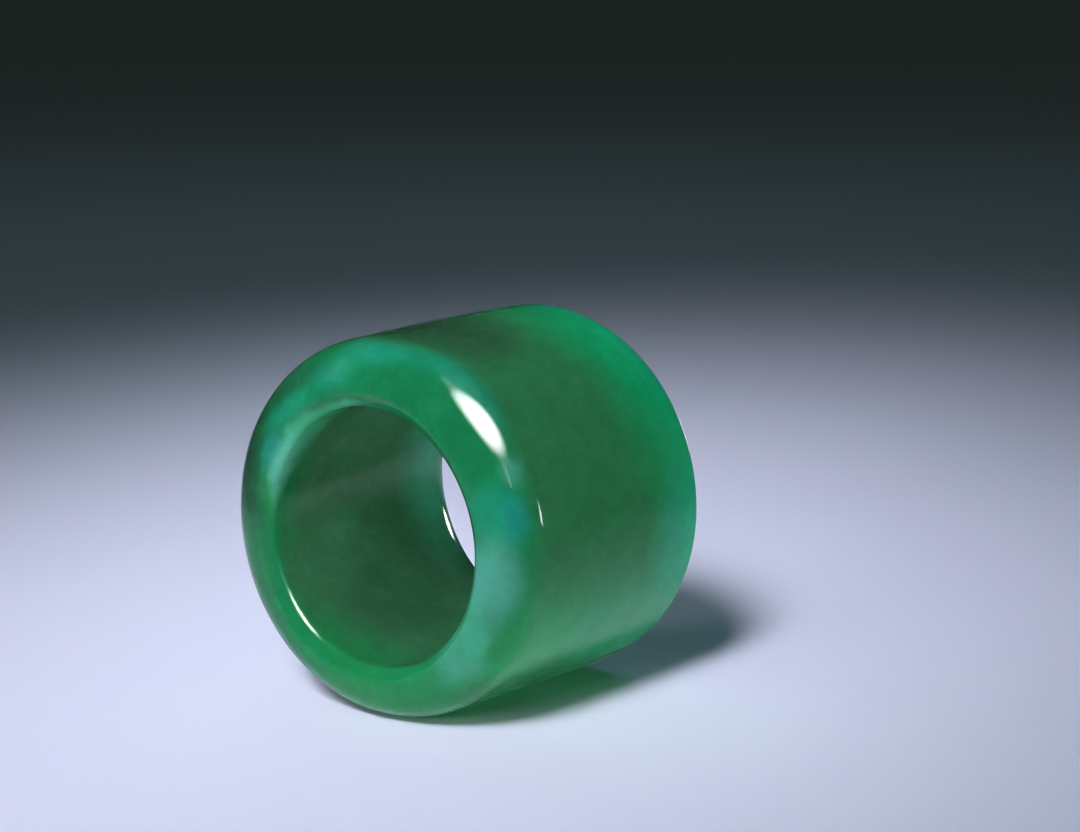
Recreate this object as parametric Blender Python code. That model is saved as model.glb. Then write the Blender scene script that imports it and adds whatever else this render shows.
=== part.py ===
"""Jade thumb ring: an archer's ring turned and polished from one piece of green jadeite.

The ring lies on its side. Its bore runs along Y, the domed end faces -Y and the flat end +Y.
The origin is on the surface that it rests on, midway along the ring and below its axis.
Sizes are in metres, and a profile point is (radius, distance from the domed end).
"""

import math

import bmesh
import bpy
from mathutils import Vector

RING_LENGTH = 0.0240

# The bore, which a thumb fits, opens out by a hair towards the flat end.
BORE_DIAMETER = 0.0208
BORE_TAPER = 0.0008

# The wall's thickness where the shoulder ends and at the flat end, and how far it bows out between.
DOMED_END_WALL = 0.00485
FLAT_END_WALL = 0.00470
WALL_SWELL = 0.00012

# The domed end: a short lip rolls up out of the bore to the crest, and a broad shoulder falls away outside.
LIP_WIDTH = 0.0012
LIP_LENGTH = 0.0014
SHOULDER_LENGTH = 0.0038

# The flat end: a flared mouth inside and an eased edge outside leave a flat band between them.
FLARE_WIDTH = 0.0018
FLARE_LENGTH = 0.0040
EASED_EDGE_WIDTH = 0.0010
EASED_EDGE_LENGTH = 0.0006

# The flat spot on which the ring lies and doesn't roll, measured where the wall is widest.
RESTING_FLAT_WIDTH = 0.0050

# How finely the round forms are divided.
SIDES = 112
SHOULDER_STEPS = 9
WALL_STEPS = 6
EDGE_STEPS = 4
FLARE_STEPS = 6
BORE_STEPS = 3
LIP_STEPS = 6

JADE_COLOUR = (0.017, 0.170, 0.065, 1.0)
JADE_ROUGHNESS = 0.12


def clear_scene():
    for thing in list(bpy.data.objects):
        bpy.data.objects.remove(thing, do_unlink=True)


def quarter_round(centre, reach_out, reach_along, start, steps):
    """A quarter of an ellipse, counted from its start angle: 0 is away from the axis, 90 towards the flat end."""
    points = []
    for i in range(steps + 1):
        angle = math.radians(start + 90.0 * i / steps)
        radius = centre[0] + reach_out * math.cos(angle)
        y = centre[1] + reach_along * math.sin(angle)
        points.append((radius, y))
    return points


def between(start, end, steps, bow=0.0):
    """The points inside a run from start to end, bowed away from the axis at its middle."""
    points = []
    for i in range(1, steps):
        share = i / steps
        radius = start[0] + (end[0] - start[0]) * share + 4.0 * bow * share * (1.0 - share)
        y = start[1] + (end[1] - start[1]) * share
        points.append((radius, y))
    return points


def ring_profile():
    """The closed outline of the wall: out over the shoulder, along the wall, and back through the bore."""
    bore_radius = BORE_DIAMETER / 2.0
    crest_radius = bore_radius + LIP_WIDTH
    shoulder_radius = bore_radius + DOMED_END_WALL
    flat_bore_radius = bore_radius + BORE_TAPER / 2.0
    flat_end_radius = flat_bore_radius + FLAT_END_WALL

    shoulder_centre = (crest_radius, SHOULDER_LENGTH)
    shoulder_width = shoulder_radius - crest_radius
    shoulder = quarter_round(shoulder_centre, shoulder_width, SHOULDER_LENGTH, -90.0, SHOULDER_STEPS)

    edge_centre = (flat_end_radius - EASED_EDGE_WIDTH, RING_LENGTH - EASED_EDGE_LENGTH)
    edge = quarter_round(edge_centre, EASED_EDGE_WIDTH, EASED_EDGE_LENGTH, 0.0, EDGE_STEPS)

    flare_centre = (flat_bore_radius + FLARE_WIDTH, RING_LENGTH - FLARE_LENGTH)
    flare = quarter_round(flare_centre, FLARE_WIDTH, FLARE_LENGTH, 90.0, FLARE_STEPS)

    lip_centre = (crest_radius, LIP_LENGTH)
    lip = quarter_round(lip_centre, LIP_WIDTH, LIP_LENGTH, 180.0, LIP_STEPS)

    wall = between(shoulder[-1], edge[0], WALL_STEPS, WALL_SWELL)
    bore = between(flare[-1], lip[0], BORE_STEPS)
    # The lip's last point is the crest, where the shoulder began.
    return shoulder + wall + edge + flare + bore + lip[:-1]


def turned_ring(profile, axis_height):
    """Turns the profile about the ring's axis, which runs along Y at the given height."""
    mesh = bmesh.new()
    loops = []
    for radius, y in profile:
        loop = []
        for i in range(SIDES):
            # Half a step round, so that a facet and not an edge faces straight down.
            angle = 2.0 * math.pi * (i + 0.5) / SIDES
            across = radius * math.sin(angle)
            height = axis_height - radius * math.cos(angle)
            loop.append(mesh.verts.new((across, y - RING_LENGTH / 2.0, height)))
        loops.append(loop)
    for here, following in zip(loops, loops[1:] + loops[:1]):
        for i in range(SIDES):
            j = (i + 1) % SIDES
            mesh.faces.new((here[i], here[j], following[j], following[i]))
    return mesh


def cut_resting_flat(mesh):
    """Takes off what lies below the resting surface and closes the cut with a level face."""
    cut = bmesh.ops.bisect_plane(
        mesh,
        geom=mesh.verts[:] + mesh.edges[:] + mesh.faces[:],
        plane_co=Vector((0.0, 0.0, 0.0)),
        plane_no=Vector((0.0, 0.0, 1.0)),
        clear_inner=True,
    )
    rim = [piece for piece in cut["geom_cut"] if isinstance(piece, bmesh.types.BMEdge)]
    bmesh.ops.contextual_create(mesh, geom=rim)


def jade_material():
    material = bpy.data.materials.new("jade")
    material.use_nodes = True
    shader = material.node_tree.nodes["Principled BSDF"]
    shader.inputs["Base Color"].default_value = JADE_COLOUR
    shader.inputs["Roughness"].default_value = JADE_ROUGHNESS
    shader.inputs["Metallic"].default_value = 0.0
    return material


def build_thumb_ring():
    profile = ring_profile()
    widest_radius = max(radius for radius, y in profile)
    axis_height = math.sqrt(widest_radius**2 - (RESTING_FLAT_WIDTH / 2.0) ** 2)
    mesh = turned_ring(profile, axis_height)
    cut_resting_flat(mesh)
    bmesh.ops.recalc_face_normals(mesh, faces=mesh.faces[:])

    data = bpy.data.meshes.new("thumb_ring")
    mesh.to_mesh(data)
    mesh.free()
    data.shade_smooth()
    data.set_sharp_from_angle(angle=math.radians(35.0))
    data.materials.append(jade_material())
    ring = bpy.data.objects.new("thumb_ring", data)
    bpy.context.scene.collection.objects.link(ring)


clear_scene()
build_thumb_ring()
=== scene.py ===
"""Jade thumb ring, turned and polished from green jadeite, lying on its side on a studio table."""
import math

import bmesh
import bpy
from mathutils import Matrix, Vector


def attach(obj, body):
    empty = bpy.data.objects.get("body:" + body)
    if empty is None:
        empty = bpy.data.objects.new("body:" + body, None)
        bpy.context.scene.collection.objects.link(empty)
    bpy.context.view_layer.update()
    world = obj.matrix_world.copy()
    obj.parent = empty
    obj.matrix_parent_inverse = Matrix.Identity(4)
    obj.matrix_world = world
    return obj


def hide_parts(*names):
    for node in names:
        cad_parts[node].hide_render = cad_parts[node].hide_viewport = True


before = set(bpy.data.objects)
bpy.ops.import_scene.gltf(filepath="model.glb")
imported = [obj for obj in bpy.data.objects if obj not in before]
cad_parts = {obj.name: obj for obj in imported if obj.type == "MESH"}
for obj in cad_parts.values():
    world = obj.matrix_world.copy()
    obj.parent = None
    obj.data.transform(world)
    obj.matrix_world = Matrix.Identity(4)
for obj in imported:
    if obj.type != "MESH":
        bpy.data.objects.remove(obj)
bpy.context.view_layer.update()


# The camera
# It stands before the domed end, to the right and a little above the ring, and looks down the bore
# at a slant through a long lens.
camera_data = bpy.data.cameras.new("camera")
camera_data.sensor_width = 36.0
camera_data.lens = 82.59
camera_data.clip_start = 0.01
camera_data.clip_end = 30.0
camera = bpy.data.objects.new("camera", camera_data)
bpy.context.scene.collection.objects.link(camera)
camera_right = Vector((0.79246, 0.60993, 0.0))
camera_up = Vector((-0.11357, 0.14756, 0.98252))
camera_back = Vector((0.59926, -0.77860, 0.18621))
camera.matrix_world = Matrix.Translation((0.12552, -0.15234, 0.06041)) @ Matrix(
    (camera_right, camera_up, camera_back)
).transposed().to_4x4()
bpy.context.scene.camera = camera
bpy.context.scene.view_settings.view_transform = "Standard"


# The ring
# One piece of jadeite, turned round a bore along Y, lapped by hand and waxed. The near end is domed
# over into a rolled lip, and the far end is ground flat, with a flared mouth and an eased edge.
# It lies on its side, on a narrow level spot of its wall.
MM = 0.001
ring_length = 24.0 * MM
bore_radius = 10.4 * MM
far_bore_radius = 10.8 * MM
crest_radius = 11.6 * MM
shoulder_radius = 15.25 * MM
shoulder_length = 3.8 * MM
far_radius = 15.5 * MM
wall_swell = 0.12 * MM
edge_width, edge_length = 1.0 * MM, 0.6 * MM
flare_width, flare_length = 1.40 * MM, 4.0 * MM
lip_width, lip_length = 1.2 * MM, 1.15 * MM
axis_height = 15.322 * MM
bore_to_right, bore_down = 0.18 * MM, 0.32 * MM
true_from_radius, stray_fade = 12.4 * MM, 2.0 * MM
lapping_depth = 0.008 * MM
sides_round = 320
shoulder_steps, wall_steps, edge_steps, far_band_steps = 28, 44, 12, 6
flare_steps, bore_steps, lip_steps = 18, 30, 8


def quarter_turn(centre, reach_out, reach_along, start, steps):
    """A quarter of an ellipse in the outline, from its start angle: 0 faces out, 90 the flat end."""
    turn = []
    for i in range(steps + 1):
        angle = math.radians(start + 90.0 * i / steps)
        radius = centre[0] + reach_out * math.cos(angle)
        turn.append((radius, centre[1] + reach_along * math.sin(angle)))
    return turn


def long_run(start, end, steps, bow=0.0):
    """The points inside a straight run of the outline, bowed out a little at its middle."""
    run = []
    for i in range(1, steps):
        share = i / steps
        radius = start[0] + (end[0] - start[0]) * share + 4.0 * bow * share * (1.0 - share)
        run.append((radius, start[1] + (end[1] - start[1]) * share))
    return run


def rolled_lip(steps):
    """The lip, from the bore up to the crest: a tight turn at the bore, a slope and a soft roll."""
    # Each pair is a length along the lip and its slope there in degrees, upright at the bore.
    stages = ((0.0, 90.0), (0.2, 74.0), (0.75, 42.0), (1.55, 38.0), (2.05, 0.0))
    outward, towards_end = [0.0], [0.0]
    for (start, slope_a), (end, slope_b) in zip(stages, stages[1:]):
        for i in range(steps):
            slope = math.radians(slope_a + (slope_b - slope_a) * (i + 0.5) / steps)
            outward.append(outward[-1] + (end - start) / steps * math.cos(slope))
            towards_end.append(towards_end[-1] + (end - start) / steps * math.sin(slope))
    return [
        (bore_radius + lip_width * out / outward[-1], lip_length * (1.0 - near / towards_end[-1]))
        for out, near in zip(outward, towards_end)
    ]


# Each point of the outline is a radius and a distance from the domed end.
shoulder_width = shoulder_radius - crest_radius
shoulder_middle = (crest_radius, shoulder_length)
shoulder = quarter_turn(shoulder_middle, shoulder_width, shoulder_length, -90, shoulder_steps)
edge_middle = (far_radius - edge_width, ring_length - edge_length)
edge = quarter_turn(edge_middle, edge_width, edge_length, 0, edge_steps)
flare_middle = (far_bore_radius + flare_width, ring_length - flare_length)
flare = quarter_turn(flare_middle, flare_width, flare_length, 90, flare_steps)
lip = rolled_lip(lip_steps)
wall = long_run(shoulder[-1], edge[0], wall_steps, wall_swell)
far_band = long_run(edge[-1], flare[0], far_band_steps)
bore = long_run(flare[-1], lip[0], bore_steps)
# The lip's last point is the crest, where the shoulder began.
outline = shoulder + wall + edge + far_band + flare + bore + lip[:-1]


def bore_stray(radius, y):
    """The bore was drilled a hair off centre: how far a point of the outline sits right and below."""
    share = min(1.0, max(0.0, (true_from_radius - radius) / stray_fade))
    share = share * share * (3.0 - 2.0 * share)
    return bore_to_right * share, bore_down * share * (1.0 - y / ring_length)


def lapping(angle, y):
    """How far the hand-lapped surface strays from a true turned one."""
    slow = math.sin(3.0 * angle + 90.0 * y + 0.7) + 0.6 * math.sin(5.0 * angle - 210.0 * y + 2.1)
    quick = 0.35 * math.sin(11.0 * angle + 330.0 * y) + 0.25 * math.sin(17.0 * angle - 520.0 * y + 1.3)
    return (slow + quick) * lapping_depth


mesh = bmesh.new()
loops = []
for radius, y in outline:
    right, below = bore_stray(radius, y)
    loop = []
    for i in range(sides_round):
        angle = 2.0 * math.pi * i / sides_round
        reach = radius + lapping(angle, y)
        # What would lie below the table is ground level: the spot on which the ring rests.
        height = max(0.0, axis_height - below + reach * math.sin(angle))
        loop.append(mesh.verts.new((right + reach * math.cos(angle), y - ring_length / 2.0, height)))
    loops.append(loop)
for here, following in zip(loops, loops[1:] + loops[:1]):
    for i in range(sides_round):
        j = (i + 1) % sides_round
        mesh.faces.new((here[i], here[j], following[j], following[i]))
bmesh.ops.recalc_face_normals(mesh, faces=mesh.faces[:])
ring_data = bpy.data.meshes.new("polished_ring")
mesh.to_mesh(ring_data)
mesh.free()
ring_data.shade_smooth()
ring = bpy.data.objects.new("polished_ring", ring_data)
bpy.context.scene.collection.objects.link(ring)

jade = bpy.data.materials.new("cloudy_jade")
jade.use_nodes = True
tree = jade.node_tree
stone = tree.nodes["Principled BSDF"]
stone.inputs["Subsurface Weight"].default_value = 1.0
stone.inputs["Subsurface Radius"].default_value = (1.8, 6.0, 4.0)
stone.inputs["Subsurface Scale"].default_value = MM
stone.inputs["IOR"].default_value = 1.66
stone.inputs["Specular IOR Level"].default_value = 0.12


def node(kind, **settings):
    """Adds a node with these settings to the tree in hand: the jade's, and further down the world's."""
    made = tree.nodes.new(kind)
    for setting, value in settings.items():
        setattr(made, setting, value)
    return made


def feed(target, source):
    """Links a node's output, or sets a plain value, on a socket."""
    if isinstance(source, bpy.types.NodeSocket):
        tree.links.new(source, target)
    else:
        target.default_value = source


def maths(operation, a, b=0.0):
    made = node("ShaderNodeMath", operation=operation)
    feed(made.inputs[0], a)
    feed(made.inputs[1], b)
    return made.outputs[0]


def eased(value, low, high, at_low=0.0, at_high=1.0):
    """Smooth passage from one level to another as a value goes from low to high."""
    made = node("ShaderNodeMapRange", interpolation_type="SMOOTHSTEP")
    feed(made.inputs["Value"], value)
    feed(made.inputs["From Min"], low)
    feed(made.inputs["From Max"], high)
    feed(made.inputs["To Min"], at_low)
    feed(made.inputs["To Max"], at_high)
    return made.outputs["Result"]


def blend_colours(share, colour_a, colour_b):
    """The first colour, with this share of the second laid over it."""
    made = node("ShaderNodeMix", data_type="RGBA")
    feed(made.inputs["Factor"], share)
    feed(made.inputs["A"], colour_a)
    feed(made.inputs["B"], colour_b)
    return made.outputs["Result"]


def noise(where, scale, detail, roughness, stretch=(1.0, 1.0, 1.0), turn=(0.0, 0.0, 0.0)):
    """Cloudy noise in millimetre places that are first stretched and turned."""
    laid = node("ShaderNodeMapping")
    laid.inputs["Scale"].default_value = stretch
    laid.inputs["Rotation"].default_value = turn
    feed(laid.inputs["Vector"], where)
    made = node("ShaderNodeTexNoise")
    feed(made.inputs["Vector"], laid.outputs[0])
    made.inputs["Scale"].default_value = scale
    made.inputs["Detail"].default_value = detail
    made.inputs["Roughness"].default_value = roughness
    return made


# Places in the stone, in millimetres from the middle of the resting spot, stirred as its clouds are.
place = node("ShaderNodeTexCoord").outputs["Object"]
in_mm = node("ShaderNodeVectorMath", operation="SCALE")
feed(in_mm.inputs[0], place)
in_mm.inputs["Scale"].default_value = 1000.0
stone_mm = in_mm.outputs[0]


def stirred(where, scale, detail, reach_mm):
    """Pushes places about by as much as reach_mm each way, as the stone's growth did its colours."""
    centred = node("ShaderNodeVectorMath", operation="SUBTRACT")
    feed(centred.inputs[0], noise(where, scale, detail, 0.55).outputs["Color"])
    centred.inputs[1].default_value = (0.5, 0.5, 0.5)
    pushed = node("ShaderNodeVectorMath", operation="MULTIPLY_ADD")
    feed(pushed.inputs[0], centred.outputs[0])
    pushed.inputs[1].default_value = (3.0 * reach_mm,) * 3
    feed(pushed.inputs[2], where)
    return pushed.outputs[0]


drifted = stirred(stirred(stone_mm, 0.16, 3.0, 0.9), 0.75, 1.0, 0.08)
split = node("ShaderNodeSeparateXYZ")
feed(split.inputs[0], drifted)
across, along = split.outputs["X"], split.outputs["Y"]
above = maths("SUBTRACT", split.outputs["Z"], axis_height / MM)
across_squared, above_squared = maths("MULTIPLY", across, across), maths("MULTIPLY", above, above)
from_axis = maths("SQRT", maths("ADD", across_squared, above_squared))
round_degrees = maths("MULTIPLY", maths("ARCTAN2", above, across), 180.0 / math.pi)
on_ring = node("ShaderNodeCombineXYZ")
feed(on_ring.inputs["X"], round_degrees)
feed(on_ring.inputs["Y"], from_axis)
feed(on_ring.inputs["Z"], along)

emerald = (0.007, 0.165, 0.055, 1.0)
# Painted light on the far end, for light coming through the thin edge.
painted_light_emerald = (0.004, 0.325, 0.100, 1.0)
olive = (0.025, 0.180, 0.061, 1.0)
# Painted shade along the top of the wall.
painted_shade_olive = (0.022, 0.085, 0.032, 1.0)
bore_olive = (0.034, 0.150, 0.060, 1.0)
leaf = (0.011, 0.190, 0.055, 1.0)
dull_leaf = (0.028, 0.150, 0.066, 1.0)
dark_green = (0.012, 0.062, 0.026, 1.0)
teal = (0.009, 0.235, 0.122, 1.0)
# Partly the stone's tint, partly painted reflection of the lavender backdrop.
blue_teal_and_sheen = (0.014, 0.240, 0.200, 1.0)
milky = (0.048, 0.275, 0.160, 1.0)
# Partly milky stone, partly painted reflection of the bright table.
milk_and_reflection = (0.065, 0.275, 0.195, 1.0)
pale_milk = (0.150, 0.500, 0.360, 1.0)
light_edge = (0.060, 0.380, 0.200, 1.0)
# Painted light on the lower wall, for the lit table's reflection and glow.
painted_floor_light_green = (0.015, 0.235, 0.095, 1.0)
# Painted light on the far rim, for light coming through the thin edge.
painted_rim_light = (0.019, 0.370, 0.200, 1.0)
bright_leaf = (0.016, 0.270, 0.085, 1.0)
# Painted shade at the foot of the wall.
painted_shade_leaf = (0.012, 0.110, 0.038, 1.0)
# Painted light on the far rim, for light coming through the thin edge.
painted_light_teal = (0.010, 0.360, 0.150, 1.0)
# Painted light in the far mouth of the bore.
painted_mouth_light = (0.055, 0.390, 0.220, 1.0)

# The wall and the bore are olive, and the domed end is emerald.
colour = blend_colours(eased(along, -8.0, -10.2), olive, emerald)
in_bore = maths("MULTIPLY", eased(from_axis, 11.4, 10.9), eased(along, -11.3, -10.4))
colour = blend_colours(in_bore, colour, bore_olive)

# Clouds in the stone, with some patches of painted light and shade among them, marked where they stand.
# Each has its middle and its half size, both as degrees round the bore from the right, the distance from
# the axis and the distance along it in millimetres, and then its strength and colour.
clouds = (
    # Painted light: the far end and its rim are brightened for light coming through the thin edge.
    ("painted light on the far end", (60, 15.5, 11.0), (95, 9.0, 10.1), 1.0, painted_light_emerald),
    ("painted teal light on the far rim", (60, 15.5, 12.0), (60, 5.0, 4.5), 0.7, painted_light_teal),
    ("painted light on the far rim", (-10, 15.5, 12.5), (42, 5.0, 8.5), 0.9, painted_rim_light),
    # Painted light: the lower wall is brightened for the lit table's reflection and glow.
    ("painted floor light along the bottom", (-36, 15.5, 3.0), (34, 5.0, 16.0), 0.85, painted_floor_light_green),
    ("leaf green by the shoulder", (-38, 15.0, -6.5), (40, 4.0, 7.5), 0.8, bright_leaf),
    # Painted shade: the foot of the wall is darkened where it faces the shadow on the table.
    ("dark foot of the wall", (-52, 15.4, -4.0), (21, 3.5, 12.0), 0.85, painted_shade_leaf),
    # Painted shade: the top of the wall, seen edge-on, is darkened.
    ("dark top of the wall", (84, 15.5, -4.0), (34, 4.0, 8.5), 0.9, painted_shade_olive),
    # Painted shade: the left shoulder, turned away from the lamp, is darkened.
    ("dark left shoulder", (166, 13.0, -11.2), (46, 3.3, 3.4), 1.0, dark_green),
    ("dull green low on the left", (-155, 12.8, -11.4), (36, 3.2, 3.2), 0.9, dull_leaf),
    ("leaf green at the bottom", (-88, 13.2, -11.4), (56, 3.6, 3.6), 0.85, leaf),
    ("dark floor of the bore", (-130, 10.4, 1.0), (55, 2.5, 11.0), 0.65, dark_green),
    # Painted light: the far end of the bore is brightened for light coming in through the flare.
    ("far mouth of the bore", (172, 10.8, 10.0), (70, 2.5, 7.0), 0.9, painted_mouth_light),
    ("green foot of the bore", (-95, 10.4, -9.5), (60, 1.6, 5.5), 0.9, leaf),
    ("green left of the bore", (172, 10.4, -10.2), (40, 1.2, 3.6), 0.9, leaf),
    ("band across the top left", (104, 13.2, -11.5), (18, 2.0, 2.6), 0.85, teal),
    ("band down the left", (128, 12.0, -11.9), (22, 1.6, 2.2), 0.85, teal),
    ("band over the crown", (87, 14.6, -10.2), (22, 1.8, 2.6), 0.9, teal),
    ("milk in the band", (101, 13.2, -11.5), (9, 1.2, 2.0), 0.4, milky),
    ("dark top of the left shoulder", (128, 13.9, -11.0), (30, 1.8, 3.2), 0.65, dark_green),
    ("milky lip", (148, 10.05, -11.0), (36, 0.95, 1.7), 0.85, pale_milk),
    ("light edge of the bore", (118, 10.4, -10.3), (52, 0.95, 2.5), 0.95, light_edge),
    # Partly the stone's tint, partly painted reflection of the lavender backdrop.
    ("blue patch on the left", (149, 10.9, -11.9), (15, 1.0, 2.2), 0.45, blue_teal_and_sheen),
    ("wisp on the shoulder", (58, 15.1, -9.3), (27, 2.0, 2.5), 0.95, teal),
    ("wisp beside the bright spot", (54, 14.9, -9.7), (15, 1.0, 1.6), 0.6, milky),
    ("wisp under the bright spot", (27, 14.9, -10.0), (9, 1.0, 1.6), 0.8, milky),
    ("teal right of the bore", (14, 13.2, -11.5), (18, 3.2, 2.6), 0.9, teal),
    # Partly the stone's tint, partly painted reflection of the lavender backdrop.
    ("blue patch by the shoulder", (12, 14.5, -10.4), (10, 1.5, 2.0), 0.6, blue_teal_and_sheen),
    # Partly milky stone, partly painted reflection of the bright table on the right of the domed end.
    ("milk and painted reflection right of the bore", (-9, 13.0, -11.6), (22, 3.4, 2.8), 1.0, milk_and_reflection),
    ("milk and painted reflection low on the right", (-36, 12.6, -11.6), (26, 3.0, 2.8), 1.0, milky),
    ("green in the milk", (-28, 14.5, -10.8), (12, 1.1, 2.0), 0.8, leaf),
)
for name, centre, half_size, strength, tint in clouds:
    off = node("ShaderNodeVectorMath", operation="SUBTRACT", label=name)
    feed(off.inputs[0], on_ring.outputs[0])
    off.inputs[1].default_value = centre
    # The degrees wrap round at half a turn, and the lengths never reach their limits.
    wrapped = node("ShaderNodeVectorMath", operation="WRAP")
    feed(wrapped.inputs[0], off.outputs[0])
    wrapped.inputs[1].default_value = (180.0, 500.0, 500.0)
    wrapped.inputs[2].default_value = (-180.0, -500.0, -500.0)
    shares = node("ShaderNodeVectorMath", operation="DIVIDE")
    feed(shares.inputs[0], wrapped.outputs[0])
    shares.inputs[1].default_value = half_size
    away = node("ShaderNodeVectorMath", operation="LENGTH")
    feed(away.inputs[0], shares.outputs[0])
    colour = blend_colours(eased(away.outputs["Value"], 1.0, 0.2, 0.0, strength), colour, tint)

# Mottling all through the stone, fine crystal grain, faint healed veins and thin milky wisps.
mottle = noise(drifted, 0.45, 4.0, 0.6, turn=(0.4, 0.2, 1.1)).outputs["Fac"]
grain = noise(stone_mm, 1.6, 4.0, 0.6).outputs["Fac"]
veins = noise(drifted, 0.35, 5.0, 0.6, stretch=(1.0, 0.35, 1.0), turn=(0.3, 0.5, 0.2)).outputs["Fac"]
vein_line = eased(maths("ABSOLUTE", maths("SUBTRACT", veins, 0.5)), 0.02, 0.0)
colour = blend_colours(maths("MULTIPLY", vein_line, 0.06), colour, milky)
wisps = noise(drifted, 0.55, 3.0, 0.55, stretch=(1.0, 0.6, 1.0), turn=(0.5, 0.1, 0.8)).outputs["Fac"]
colour = blend_colours(eased(wisps, 0.48, 0.7, 0.0, 0.07), colour, milky)
tone = node("ShaderNodeHueSaturation")
shade = maths("MULTIPLY", eased(mottle, 0.3, 0.7, 0.93, 1.07), eased(grain, 0.3, 0.7, 0.96, 1.04))
feed(tone.inputs["Value"], shade)
feed(tone.inputs["Color"], colour)
feed(stone.inputs["Base Color"], tone.outputs["Color"])

# A waxed hand polish with hair-fine scuffs.
scuffs = noise(stone_mm, 3.0, 4.0, 0.7, stretch=(1.0, 0.25, 1.0)).outputs["Fac"]
feed(stone.inputs["Roughness"], eased(scuffs, 0.35, 0.75, 0.07, 0.12))
bump = node("ShaderNodeBump")
bump.inputs["Strength"].default_value = 0.15
bump.inputs["Distance"].default_value = 0.004 * MM
feed(bump.inputs["Height"], scuffs)
feed(stone.inputs["Normal"], bump.outputs["Normal"])

ring_data.materials.append(jade)
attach(ring, "root")
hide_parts("thumb_ring")


# The table
# A sheet of matt pale lavender studio paper, laid flat, on which the ring lies by its own weight.
# It is bright only where the lamp's pool falls.
table_data = bpy.data.meshes.new("table")
# How far the sheet reaches each way, well past the picture.
far = 6.0
corners = [(-far, -far, 0), (far, -far, 0), (far, far, 0), (-far, far, 0)]
table_data.from_pydata(corners, [], [(0, 1, 2, 3)])
table = bpy.data.objects.new("table", table_data)
bpy.context.scene.collection.objects.link(table)
paper = bpy.data.materials.new("graded_paper")
paper.use_nodes = True
sheet = paper.node_tree.nodes["Principled BSDF"]
sheet.inputs["Roughness"].default_value = 0.9
sheet.inputs["Specular IOR Level"].default_value = 0.0
sheet.inputs["Base Color"].default_value = (0.80, 0.80, 0.90, 1.0)
table_data.materials.append(paper)


# The lights
# One lamp, narrowed to a pool, throws the shadow, and a low card before the ring fills its domed end.
# Two bluish cards behind tint the shadow. None of them shows in the polish, which has its own softbox
# and strips in the world.
ring_middle = Vector((0.0, 0.0, 0.015))


def toward(azimuth, elevation):
    """A direction from the ring: azimuth 0 is before the domed end, and 90 is at +X."""
    turn, rise = math.radians(azimuth), math.radians(elevation)
    return Vector((math.sin(turn) * math.cos(rise), -math.cos(turn) * math.cos(rise), math.sin(rise)))


def soft_light(
    name, azimuth, elevation, distance, width, height, power, tint, aim=ring_middle, spread=180.0
):
    """An oval card of light that way from the ring, turned to face its aim and unseen in reflections."""
    data = bpy.data.lights.new(name, "AREA")
    data.shape = "ELLIPSE"
    data.size = width
    data.size_y = height
    data.energy = power
    data.color = tint
    data.spread = math.radians(spread)
    made = bpy.data.objects.new(name, data)
    bpy.context.scene.collection.objects.link(made)
    made.location = ring_middle + toward(azimuth, elevation) * distance
    made.rotation_euler = (made.location - Vector(aim)).to_track_quat("Z", "Y").to_euler()
    made.visible_glossy = False
    return made


soft_light(
    "lamp", azimuth=15.0, elevation=42.0, distance=0.42, width=0.15, height=0.165,
    power=0.084, tint=(0.837, 0.841, 1.0), aim=(-0.019, 0.014, 0.0), spread=22.0,
)
soft_light(
    "back_card", azimuth=-135.0, elevation=60.0, distance=0.30, width=0.24, height=0.24,
    power=0.0138, tint=(0.44, 0.84, 1.0), aim=(-0.010, 0.020, 0.0), spread=60.0,
)
soft_light(
    "far_card", azimuth=-145.0, elevation=45.0, distance=0.42, width=0.15, height=0.15,
    power=0.032, tint=(0.45, 0.80, 1.0), aim=(-0.17, 0.24, 0.0),
)
soft_light(
    "low_card", azimuth=5.0, elevation=15.0, distance=0.30, width=0.133, height=0.053,
    power=0.22, tint=(0.869, 0.915, 1.0),
)

# Light that travels inside so clear a stone comes out low on its right, and scattering near the surface
# misses it. A soft light from below, which falls on the ring alone, stands in for it.
glow = soft_light(
    "glow", azimuth=90.0, elevation=-42.0, distance=0.05, width=0.05, height=0.05,
    power=0.0155, tint=(1.0, 1.0, 1.0),
)
lit_alone = bpy.data.collections.new("lit_alone")
lit_alone.objects.link(ring)
glow.light_linking.receiver_collection = lit_alone
blocks_it = bpy.data.collections.new("blocks_it")
blocks_it.objects.link(ring)
glow.light_linking.blocker_collection = blocks_it

# A small lamp inside the bore, which also falls on the ring alone, stands in for the light that comes
# through the wall.
bore_glow = soft_light(
    "bore_glow", azimuth=180.0, elevation=0.0, distance=0.002, width=0.024, height=0.007,
    power=0.0007, tint=(1.0, 1.0, 1.0), aim=(-0.02, 0.006, 0.025),
)
bore_glow.visible_camera = False
bore_glow.light_linking.receiver_collection = lit_alone

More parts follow.
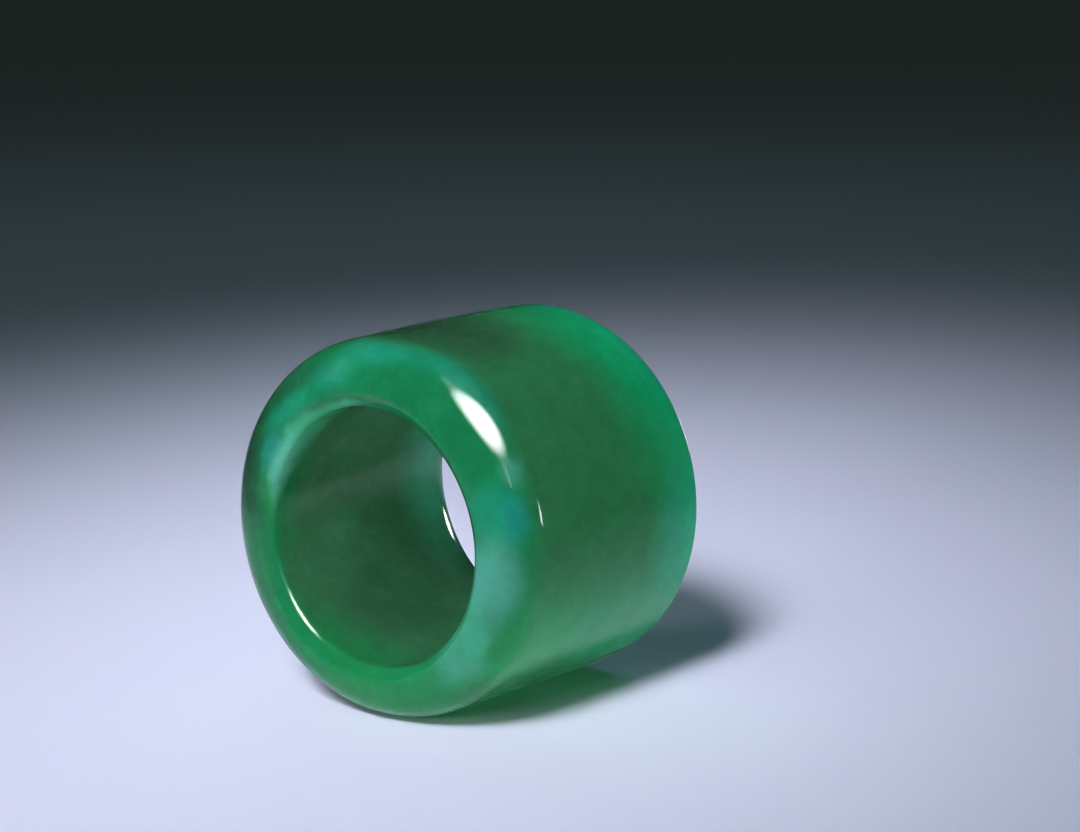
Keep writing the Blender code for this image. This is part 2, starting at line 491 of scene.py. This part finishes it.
# The room is nearly dark. Its softbox and its narrow strips of light show in the polish alone. Each
# has its azimuth and elevation, its half width and half height in degrees, how far out from its middle
# it is evenly bright, from 0 to 1, and its brightness.
world = bpy.data.worlds.new("dim_room")
world.use_nodes = True
tree = world.node_tree
room = tree.nodes["Background"]
facing = node("ShaderNodeTexCoord").outputs["Generated"]
panels = (
    ("softbox", 69.5, 59.5, 28.0, 23.5, 0.3, 90.0),
    ("strip above the softbox", 45.0, 82.0, 9.0, 9.0, 0.1, 4.0),
    ("strip below the softbox", 71.0, 29.0, 3.0, 10.0, 0.3, 10.0),
    ("strip on the right", 131.0, 3.0, 2.5, 8.0, 0.5, 40.0),
    ("strip in the far mouth", 174.5, 6.0, 5.0, 6.5, 0.3, 60.0),
    ("strip on the far edge", -171.0, -4.5, 11.0, 5.0, 0.5, 60.0),
)
shine = 0.0
for name, azimuth, elevation, half_width, half_height, even, brightness in panels:
    middle = toward(azimuth, elevation)
    side = middle.cross(Vector((0.0, 0.0, 1.0))).normalized()
    reaches = []
    for way, half in ((side, half_width), (side.cross(middle), half_height)):
        reached = node("ShaderNodeVectorMath", operation="DOT_PRODUCT", label=name)
        feed(reached.inputs[0], facing)
        reached.inputs[1].default_value = way / math.sin(math.radians(half))
        reaches.append(maths("POWER", reached.outputs["Value"], 2.0))
    ahead = node("ShaderNodeVectorMath", operation="DOT_PRODUCT", label=name)
    feed(ahead.inputs[0], facing)
    ahead.inputs[1].default_value = middle
    inside = eased(maths("ADD", reaches[0], reaches[1]), 1.0, even * even, 0.0, brightness)
    before = maths("GREATER_THAN", ahead.outputs["Value"], 0.0)
    shine = maths("ADD", shine, maths("MULTIPLY", inside, before))
in_polish = maths("MULTIPLY", shine, node("ShaderNodeLightPath").outputs["Is Glossy Ray"])
shine_colour = node("ShaderNodeCombineColor")
for channel in shine_colour.inputs:
    feed(channel, in_polish)
room_light = node("ShaderNodeVectorMath", operation="ADD")
room_light.inputs[0].default_value = (0.0140, 0.0210, 0.0172)
feed(room_light.inputs[1], shine_colour.outputs["Color"])
feed(room.inputs["Color"], room_light.outputs[0])
bpy.context.scene.world = world
